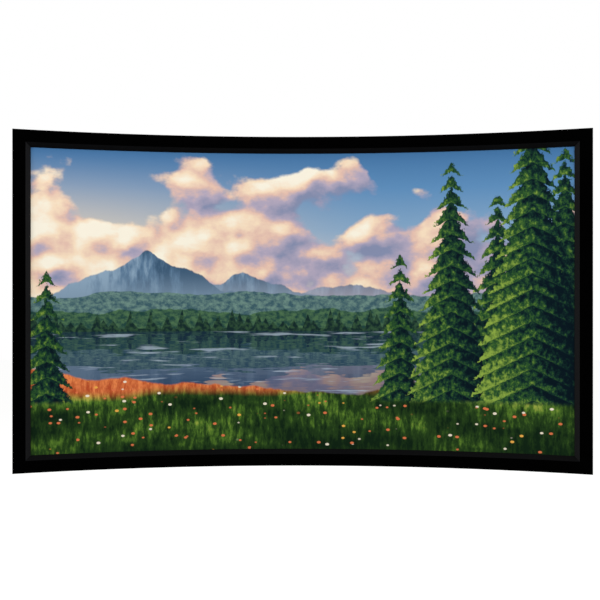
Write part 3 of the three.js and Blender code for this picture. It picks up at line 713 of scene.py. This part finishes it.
def springPath():
    # out, level and sideways along the wire: round the rod, round the coil and over the lip's bead
    level = rod["level"]
    turn = math.radians(springs["rodHookTurn"])
    path = []
    for i in range(springs["hookSteps"] + 1):
        angle = turn * (1 - i / springs["hookSteps"])
        path.append((rod["inset"] + springs["rodHook"] * math.cos(angle),
                     level + springs["rodHook"] * math.sin(angle), 0.0))
    start = springs["coilStart"] + springs["wire"] / 2
    end = springs["coilEnd"] - springs["wire"] / 2
    path.append((start - springs["wire"], level, 0.0))
    radius = (springs["coil"] - springs["wire"]) / 2
    turns = (end - start) / springs["pitch"]
    steps = int(turns * springs["stepsPerTurn"])
    for i in range(steps + 1):
        angle = 2 * math.pi * turns * i / steps
        # the wire runs in from the middle at both ends of the coil
        grown = radius * min(1.0, 0.35 + i / 5, 0.35 + (steps - i) / 5)
        path.append((start + (end - start) * i / steps, level + grown * math.sin(angle), grown * math.cos(angle)))
    path.append((end + springs["wire"], level, 0.0))
    bead, bend = springs["beadHook"], springs["hookBend"]
    for i in range(5):
        angle = i / 4 * math.pi / 2
        path.append((bead - bend + bend * math.sin(angle), level - bend + bend * math.cos(angle), 0.0))
    path.append((bead, springs["hookLevel"], 0.0))
    return path


def springMesh():
    curve = bpy.data.curves.new("springWire", "CURVE")
    curve.dimensions = "3D"
    curve.bevel_depth = springs["wire"] / 2
    curve.bevel_resolution = 1
    curve.use_fill_caps = True
    line = curve.splines.new("POLY")
    path = springPath()
    line.points.add(len(path) - 1)
    for point, (out, level, aside) in zip(line.points, path):
        point.co = (aside, -level, out, 1.0)
    wire = bpy.data.objects.new("springWire", curve)
    mesh = bpy.data.meshes.new_from_object(wire)
    bpy.data.objects.remove(wire)
    bpy.data.curves.remove(curve)
    return mesh


def makeSprings():
    shape = springMesh()
    for place, side in sides.items():
        for i, along in enumerate(springPlaces(place)):
            bm = bmesh.new()
            bm.from_mesh(shape)
            bmesh.ops.translate(bm, verts=bm.verts, vec=(along, 0, side["reach"]))
            turnToSide(bm, side)
            roll(bm)
            bmesh.ops.recalc_face_normals(bm, faces=bm.faces)
            makePiece(place + "Spring" + str(i + 1), bm, [springWire], 60, "spring", place + "_spring_" + str(i + 1))
    bpy.data.meshes.remove(shape)


cloth = {
    "thickness": 0.0006,
    "front": 0.0131,
    "sleeveTurn": 225,  # degrees
    "sleeveSteps": 10,
    "columns": 80,
    "rows": 6,
    "weldFrom": 0.0051,  # out from the visible edge
    "weldTo": -0.008,
    "weldGap": 0.00002,
    "sleeveEnd": 0.010,
    "cornerOverlap": 0.005,
    "notchHalf": 0.006,
    "notchFrom": 0.0074,
    "flat": (2.523, 1.458),
}


def cutLines(bm, axis, places):
    for place in places:
        spot = Vector((0, 0, 0))
        spot[axis] = place
        way = Vector((0, 0, 0))
        way[axis] = 1
        bmesh.ops.bisect_plane(bm, geom=list(bm.verts) + list(bm.edges) + list(bm.faces), dist=1e-6,
                               plane_co=spot, plane_no=way)


def isCutAway(spot):
    # the squares at the corners, and a notch in the sleeve at each spring
    across, up = abs(spot.x), abs(spot.z)
    wide, high = screen["halfWidth"], screen["halfHeight"]
    end, overlap, notch = cloth["sleeveEnd"], cloth["cornerOverlap"], cloth["notchHalf"]
    if across > wide - end and up > high - end and (across > wide + overlap or up > high + overlap):
        return True
    if up > high + cloth["notchFrom"]:
        return any(abs(spot.x - place) < notch for place in springPlaces("top"))
    if across > wide + cloth["notchFrom"]:
        return any(abs(spot.z - place) < notch for place in springPlaces("left"))
    return False


def addSleeve(bm, place):
    # the cloth's edge goes round the rod and is welded to its own back
    upright = place in ("left", "right")
    axis, way = (2, 0) if upright else (0, 2)
    sign = 1 if place in ("top", "right") else -1
    reach = sign * (sides[place]["reach"] + rod["inset"])
    border = [e for e in bm.edges if len(e.link_faces) == 1
              and all(abs(v.co[way] - reach) < 1e-5 for v in e.verts)]
    centre = Vector((0, -rod["level"], 0))
    centre[way] = reach
    turnAxis = Vector((0, 0, 0))
    turnAxis[axis] = 1
    turned = math.radians(cloth["sleeveTurn"]) * sign * (1 if upright else -1)
    geom = bmesh.ops.spin(bm, geom=border, cent=centre, axis=turnAxis, angle=turned,
                          steps=cloth["sleeveSteps"])["geom_last"]
    last = [item for item in geom if isinstance(item, bmesh.types.BMEdge)]
    level = cloth["front"] - 1.5 * cloth["thickness"] - cloth["weldGap"]
    for out in (cloth["weldFrom"], cloth["weldTo"]):
        last, verts = pulledOut(bm, last)
        for vert in verts:
            vert.co[way] = sign * (sides[place]["reach"] + out)
            vert.co.y = -level


def makeFabric():
    bm = bmesh.new()
    wide, high = screen["halfWidth"], screen["halfHeight"]
    middle = cloth["front"] - cloth["thickness"] / 2
    size = Matrix.Diagonal((wide + rod["inset"], high + rod["inset"], 1, 1))
    upright = Matrix.Rotation(math.pi / 2, 4, "X")
    place = Matrix.Translation((0, -middle, 0)) @ upright @ size
    bmesh.ops.create_grid(bm, x_segments=cloth["columns"], y_segments=cloth["rows"], size=1, matrix=place)
    notch = cloth["notchHalf"]
    for axis, half, row in ((0, wide, "top"), (2, high, "left")):
        lines = [sign * (half + away) for sign in (-1, 1)
                 for away in (-cloth["sleeveEnd"], cloth["cornerOverlap"], cloth["notchFrom"])]
        lines += [spot + edge for spot in springPlaces(row) for edge in (-notch, notch)]
        cutLines(bm, axis, lines)
    bmesh.ops.delete(bm, geom=[f for f in bm.faces if isCutAway(f.calc_center_median())], context="FACES")
    seen = set(bm.faces)
    for name in sides:
        addSleeve(bm, name)
    run = bm.loops.layers.uv.new("picture")
    for each in bm.faces:
        each.material_index = 0 if each in seen else 2
        for loop in each.loops:
            loop[run].uv = (loop.vert.co.x, loop.vert.co.z)
    roll(bm)
    materials = [fabricFront, fabricBack, fabricWhite, fabricBack]
    piece = makePiece("screenFabric", bm, materials, 60, "screen", "screen_fabric")
    body = piece.modifiers.new("thickness", "SOLIDIFY")
    body.thickness = cloth["thickness"]
    body.offset = 0
    body.material_offset = 1
    body.material_offset_rim = 1


makeRods()
makeSprings()
makeFabric()
print("rods, springs and fabric made")


# Joiners, braces and wall brackets

braces = {
    "cornerLeg": 0.110,
    "cornerInner": 0.0453,  # out from the visible edge
    "cornerOuter": 0.0697,
    "cornerBack": 0.0023,
    "cornerFront": 0.0073,
    "cornerRounding": 0.0008,
    "screwRadius": 0.0025,
    "screwChamfer": 0.0003,
    "screwLength": 0.0015,  # below its chamfer
    "screwBack": 0.0008,
    "socketRadius": 0.0014,
    "socketDepth": 0.0012,
    "screwsAt": (0.032, 0.060),
    "slotMiddle": 0.0575,
    "barAt": 0.548,
    "barHalfWidth": 0.0125,
    "barFront": 0.0003,
    "barBack": 0.0123,
    "barEnd": 0.754,
    "capThickness": 0.0015,
    "capRounding": 0.0006,
    "headHalf": 0.008,
    "headFront": -0.0063,
    "headBack": -0.0023,
    "headRounding": 0.0005,
    "softening": 0.0005,  # of the edges of bars and wall brackets
    "joinerSoftening": 0.0004,
    "shankRadius": 0.003,
    "knobFront": 0.0126,
    "knobRadius": 0.010,
    "lobes": 7,
    "stepsPerLobe": 12,
    "lobeDepth": 0.0011,
}


def boxBetween(bm, low, high, rounding):
    middle = [(a + b) / 2 for a, b in zip(low, high)]
    size = [b - a for a, b in zip(low, high)]
    place = Matrix.Translation(middle) @ Matrix.Diagonal((*size, 1))
    verts = bmesh.ops.create_cube(bm, size=1, matrix=place)["verts"]
    bevelEdges(bm, edgesOf(verts), rounding)


def socketScrew(bm, x, z):
    # a set screw seen from behind: a round end with a hexagonal socket
    radius, back, chamfer = braces["screwRadius"], -braces["screwBack"], braces["screwChamfer"]
    facing = Matrix.Translation((x, back, z)) @ Matrix.Rotation(-math.pi / 2, 4, "X")
    rim = bmesh.ops.create_circle(bm, segments=24, radius=radius - chamfer, matrix=facing)["verts"]
    hexagon = bmesh.ops.create_circle(bm, segments=6, radius=braces["socketRadius"], matrix=facing)["verts"]
    rimEdges, hexEdges = edgesOf(rim), edgesOf(hexagon)
    bmesh.ops.bridge_loops(bm, edges=rimEdges + hexEdges)
    for edges, steps in ((hexEdges, [(1.0, -braces["socketDepth"])]),
                         (rimEdges, [(radius / (radius - chamfer), -chamfer), (1.0, -braces["screwLength"])])):
        for grow, deep in steps:
            edges, verts = pulledOut(bm, edges)
            bmesh.ops.scale(bm, vec=(grow, 1, grow), space=Matrix.Translation((-x, 0, -z)), verts=verts)
            bmesh.ops.translate(bm, vec=(0, deep, 0), verts=verts)
        bmesh.ops.edgeloop_fill(bm, edges=edges)


def makeCornerBracket(name, node, acrossSign, upSign):
    bm = bmesh.new()
    inner, outer, leg = braces["cornerInner"], braces["cornerOuter"], braces["cornerLeg"]
    wide, high = screen["halfWidth"], screen["halfHeight"]
    outline = [(wide + outer - leg, high + outer), (wide + outer - leg, high + inner), (wide + inner, high + inner),
               (wide + inner, high + outer - leg), (wide + outer, high + outer - leg), (wide + outer, high + outer)]
    back, front = -braces["cornerBack"], -braces["cornerFront"]
    face = bm.faces.new([bm.verts.new((acrossSign * x, back, upSign * z)) for x, z in outline])
    made = bmesh.ops.extrude_face_region(bm, geom=[face])["geom"]
    bmesh.ops.translate(bm, vec=(0, front - back, 0), verts=[v for v in made if isinstance(v, bmesh.types.BMVert)])
    bevelEdges(bm, list(bm.edges), braces["cornerRounding"])
    middle = braces["slotMiddle"]
    for away in braces["screwsAt"]:
        for x, z in ((wide + middle - away, high + middle), (wide + middle, high + middle - away)):
            socketScrew(bm, acrossSign * x, upSign * z)
    bmesh.ops.recalc_face_normals(bm, faces=bm.faces)
    roll(bm)
    makePiece(name, bm, [zincPlate], 35, "bracket", node)


def makeSoftened(name, node, slotName, material, rounding):
    # the node's own shape, with its sharp edges rounded
    bm = bmesh.new()
    bm.from_mesh(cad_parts[node].data)
    bmesh.ops.remove_doubles(bm, verts=bm.verts, dist=2e-6)
    bmesh.ops.dissolve_limit(bm, angle_limit=math.radians(1), verts=bm.verts, edges=bm.edges)
    sharp = [e for e in bm.edges if len(e.link_faces) == 2 and e.calc_face_angle() > math.radians(50)]
    bevelEdges(bm, sharp, rounding, clamp=True)
    piece = makePiece(name, bm, [material], 40, slotName, node)
    # flat faces stay flat next to their rounded edges
    piece.modifiers.new("normals", "WEIGHTED_NORMAL").keep_sharp = True


def makeEndCap(name, along, sign):
    # a moulded plug that closes the bar's end
    bm = bmesh.new()
    half = braces["barHalfWidth"]
    end = sign * braces["barEnd"]
    top = end + sign * braces["capThickness"]
    boxBetween(bm, (along - half, braces["barFront"], min(end, top)),
               (along + half, braces["barBack"], max(end, top)), braces["capRounding"])
    roll(bm)
    makePiece(name, bm, [mouldedNylon], 35, "knob")


def makeKnobBolt(name, node, along, z):
    bm = bmesh.new()
    half = braces["headHalf"]
    boxBetween(bm, (along - half, braces["headFront"], z - half), (along + half, braces["headBack"], z + half),
               braces["headRounding"])
    # the shank passes through the bar
    length = braces["knobFront"] - braces["headBack"]
    standing = Matrix.Translation((along, braces["headBack"] + length / 2, z)) @ Matrix.Rotation(math.pi / 2, 4, "X")
    bmesh.ops.create_cone(bm, cap_ends=True, segments=24, radius1=braces["shankRadius"],
                          radius2=braces["shankRadius"], depth=length, matrix=standing)
    # the knob: a lobed disc, crowned behind, with a dished middle
    facing = Matrix.Translation((along, braces["knobFront"], z)) @ Matrix.Rotation(-math.pi / 2, 4, "X")
    rim = bmesh.ops.create_circle(bm, cap_ends=True, segments=braces["lobes"] * braces["stepsPerLobe"],
                                  radius=braces["knobRadius"], matrix=facing)["verts"]
    for vert in rim:
        away = Vector((vert.co.x - along, 0, vert.co.z - z))
        turn = math.atan2(away.z, away.x)
        dip = braces["lobeDepth"] * (0.5 - 0.5 * math.cos(braces["lobes"] * turn))
        vert.co -= away.normalized() * dip
    face = rim[0].link_faces[0]
    # each ring's share of the radius, and its height over the knob's base
    profile = [(1.0, 0.0005), (1.0, 0.0058), (0.985, 0.0066), (0.94, 0.0074), (0.86, 0.008),
               (0.62, 0.008), (0.56, 0.0076), (0.50, 0.0068), (0.20, 0.0066)]
    grown, lifted = 1.0, 0.0
    for share, rise in profile:
        face = bmesh.ops.extrude_discrete_faces(bm, faces=[face])["faces"][0]
        bmesh.ops.scale(bm, vec=(share / grown, 1, share / grown), space=Matrix.Translation((-along, 0, -z)),
                        verts=face.verts)
        bmesh.ops.translate(bm, vec=(0, rise - lifted, 0), verts=face.verts)
        grown, lifted = share, rise
    bmesh.ops.edgeloop_fill(bm, edges=[edge for edge in bm.edges if edge.is_boundary])
    bmesh.ops.recalc_face_normals(bm, faces=bm.faces)
    roll(bm)
    makePiece(name, bm, [mouldedNylon], 35, "knob", node)


def makeBraces():
    for half, across in (("left", -1), ("right", 1)):
        for level, up in (("top", 1), ("bottom", -1)):
            name = level + half.capitalize()
            makeCornerBracket(name + "CornerBracket", "corner_bracket_" + level + "_" + half, across, up)
            z = up * (screen["halfHeight"] + braces["slotMiddle"])
            makeKnobBolt(name + "KnobBolt", "support_bolt_" + level + "_" + half, across * braces["barAt"], z)
            makeEndCap(name + "BarCap", across * braces["barAt"], up)
        makeSoftened(half + "SupportBar", "support_bar_" + half, "bar", millUpright, braces["softening"])
    for place in ("top_middle", "top_left", "top_right", "bottom_left", "bottom_right"):
        words = place.split("_")
        makeSoftened("wallBracket" + words[0].capitalize() + words[1].capitalize(), "wall_bracket_" + place,
                     "wall_bracket", powderCoat, braces["softening"])
    for place in ("top", "bottom"):
        makeSoftened(place + "Joiner", place + "_joiner", "rail", millAlong, braces["joinerSoftening"])


makeBraces()
print("braces and brackets made")


# Camera, light and floor

studio = {
    "camera": (0.0087, -3.23053, -0.71644),  # fitted to the screen's outline in the photo
    "yaw": 0.32842,  # degrees
    "lens": 41.35,  # mm, on a sensor 36 mm wide
    "floorLevel": -2.3,
    "floorSize": 30.0,
    "floorLift": 0.7,  # how much white the floor adds for the camera
    "aim": (0, 0, -0.7),
    "lampSize": 2.4,
    # place and watts
    "lamps": {
        "keyLight": ((-2.6, -3.2, 1.2), 75.0),
        "fillLight": ((2.8, -3.0, 0.6), 60.0),
        "backLight": ((0.8, 3.4, 1.4), 45.0),
    },
    "worldLight": 0.5,
}


def makeCamera():
    data = bpy.data.cameras.new("photoCamera")
    camera = bpy.data.objects.new("photoCamera", data)
    bpy.context.scene.collection.objects.link(camera)
    camera.location = studio["camera"]
    camera.rotation_euler = (math.pi / 2, 0, math.radians(studio["yaw"]))
    data.sensor_width = 36
    data.lens = studio["lens"]
    data.clip_start = 0.05
    data.clip_end = 100
    bpy.context.scene.camera = camera


def makeLight(name, spot, power):
    data = bpy.data.lights.new(name, "AREA")
    data.shape = "SQUARE"
    data.size = studio["lampSize"]
    data.energy = power
    lamp = bpy.data.objects.new(name, data)
    bpy.context.scene.collection.objects.link(lamp)
    lamp.location = spot
    lamp.visible_camera = False
    lamp.rotation_euler = (Vector(studio["aim"]) - Vector(spot)).to_track_quat("-Z", "Y").to_euler()


def seenAsWhite(tree):
    # 1 for what the camera, a reflection or glass sees, and 0 for the light that falls on the screen
    path = addNode(tree, "LightPath").node
    seen = path.outputs["Is Camera Ray"]
    for way in ("Is Glossy Ray", "Is Transmission Ray"):
        seen = addNode(tree, "Math", (seen, path.outputs[way]), operation="MAXIMUM")
    return seen


def makeWorld():
    world = bpy.data.worlds.new("studio")
    bpy.context.scene.world = world
    world.use_nodes = True
    tree = world.node_tree
    seen = seenAsWhite(tree)
    level = addNode(tree, "MapRange", (seen, 0.0, 1.0, studio["worldLight"], 1.0))
    fill(tree.nodes["Background"], {"Color": "#ffffff", "Strength": level})


def makeFloor():
    bm = bmesh.new()
    bmesh.ops.create_grid(bm, x_segments=1, y_segments=1, size=studio["floorSize"] / 2,
                          matrix=Matrix.Translation((0, 0, studio["floorLevel"])))
    # pale matt paint, raised to white for the camera, but less so where the screen's shadow falls
    material, tree, shader = newMaterial("paintedStudioFloor", Roughness=0.9)
    seen = seenAsWhite(tree)
    lifted = addNode(tree, "Math", (seen, studio["floorLift"]), **times)
    fill(shader, {"Base Color": "#c4c4c2", "Specular IOR Level": 0.0, "Emission Color": "#ffffff",
                  "Emission Strength": lifted})
    # from below the view goes through the floor
    below = addNode(tree, "NewGeometry", out="Backfacing")
    clear = addNode(tree, "BsdfTransparent")
    surface = addNode(tree, "MixShader", {0: below, 1: shader.outputs["BSDF"], 2: clear})
    fill(tree.nodes["Material Output"], {"Surface": surface})
    floor = newObject("floor", bm, [material])


makeCamera()
for name, (spot, power) in studio["lamps"].items():
    makeLight(name, spot, power)
makeWorld()
makeFloor()
bpy.context.scene.view_settings.view_transform = "Standard"

print("scene made")
